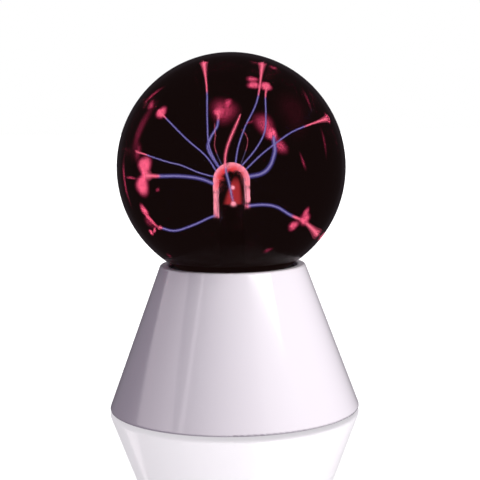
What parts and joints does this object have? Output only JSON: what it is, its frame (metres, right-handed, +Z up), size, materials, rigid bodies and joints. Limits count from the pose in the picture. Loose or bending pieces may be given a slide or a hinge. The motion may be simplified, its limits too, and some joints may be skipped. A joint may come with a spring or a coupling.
{
  "type": "plasma ball",
  "caption": "Clear gas-discharge globe with a domed centre electrode, standing in the open rim of a glossy conical base that holds its high-voltage driver.",
  "frame": {"origin": "middle of the plane that the four feet stand on, on the globe's vertical axis", "axes": "+Z up along the globe's and the base's common axis; front is -Y; the switch and the power inlet are at the rear, towards +Y"},
  "size_m": [0.1402, 0.1402, 0.1996],
  "materials": {
    "globe_glass": "clear blown glass, polished",
    "stem_glass": "clear drawn glass",
    "graphite": "matt black conductive coating",
    "steel_wool": "fine steel wool",
    "silicone": "off-white silicone",
    "seat_foam": "black foam rubber",
    "clamp_plastic": "black nylon",
    "washer_rubber": "black rubber",
    "screw_steel": "zinc-plated steel",
    "gloss_shell": "white, polished",
    "plate_plastic": "white, fine texture",
    "foot_rubber": "dark grey rubber",
    "board_laminate": "green solder mask",
    "ferrite": "dark grey ferrite",
    "clip_steel": "spring steel",
    "bobbin_plastic": "black phenolic",
    "copper_wire": "enamelled copper",
    "taped_winding": "yellow polyester tape",
    "tinned_wire": "tinned",
    "sink_aluminium": "plain extruded",
    "epoxy_black": "moulded epoxy",
    "can_sleeve": "dark blue sleeve",
    "can_sleeve_black": "black sleeve",
    "film_red": "red epoxy dip",
    "disc_ochre": "ochre dip",
    "resistor_tan": "tan coating",
    "diode_black": "moulded",
    "header_ivory": "ivory nylon",
    "capsule_metal": "drawn can",
    "switch_steel": "plated steel",
    "wafer_phenolic": "brown phenolic",
    "terminal_brass": "plated brass",
    "knob_plastic": "black, ribbed top",
    "inlet_plastic": "black",
    "pin_metal": "nickel-plated",
    "nut_metal": "nickel-plated",
    "lead_red": "red insulation",
    "lead_black": "black insulation",
    "lead_blue": "blue insulation",
    "lead_cream": "cream insulation"
  },
  "bodies": {
    "ball": {"globe_glass": "globe_glass", "electrode_stem": "stem_glass", "exhaust_tip": "stem_glass", "electrode_liner": "graphite", "steel_wool_wad": "steel_wool", "electrode_plug": "silicone", "globe_seat_ring": "seat_foam", "neck_clamp_left": "clamp_plastic", "neck_clamp_right": "clamp_plastic", "neck_washer": "washer_rubber", "clamp_screws": "screw_steel", "base_shell": "gloss_shell", "base_plate": "plate_plastic", "base_plate_screws": "screw_steel", "rubber_feet": "foot_rubber", "circuit_board": "board_laminate", "board_screws": "screw_steel", "core_lower_half": "ferrite", "core_upper_half": "ferrite", "core_clip": "clip_steel", "transformer_bobbin": "bobbin_plastic", "primary_winding": "copper_wire", "secondary_winding": "taped_winding", "transformer_pins": "tinned_wire", "heat_sink": "sink_aluminium", "power_transistor": "epoxy_black", "transistor_screw": "screw_steel", "smoothing_capacitor": "can_sleeve", "small_capacitors": "can_sleeve_black", "film_capacitor": "film_red", "ceramic_capacitors": "disc_ochre", "resistors": "resistor_tan", "rectifier_diodes": "diode_black", "timer_chip": "epoxy_black", "lead_header": "header_ivory", "microphone_capsule": "capsule_metal", "switch_frame": "switch_steel", "switch_wafer": "wafer_phenolic", "switch_terminals": "terminal_brass", "switch_screws": "screw_steel", "inlet_body": "inlet_plastic", "inlet_pin": "pin_metal", "inlet_nut": "nut_metal", "inlet_terminals": "terminal_brass", "high_voltage_lead": "lead_red", "inlet_lead_red": "lead_red", "inlet_lead_black": "lead_black", "switch_leads": "lead_blue", "microphone_leads": "lead_cream"},
    "switch_slider": {"switch_knob": "knob_plastic"}
  },
  "joints": [
    {"name": "switch_slide", "type": "slide", "parent": "ball", "child": "switch_slider", "axis": [-1, 0, 0], "range_m": [0, 0.005]}
  ]
}
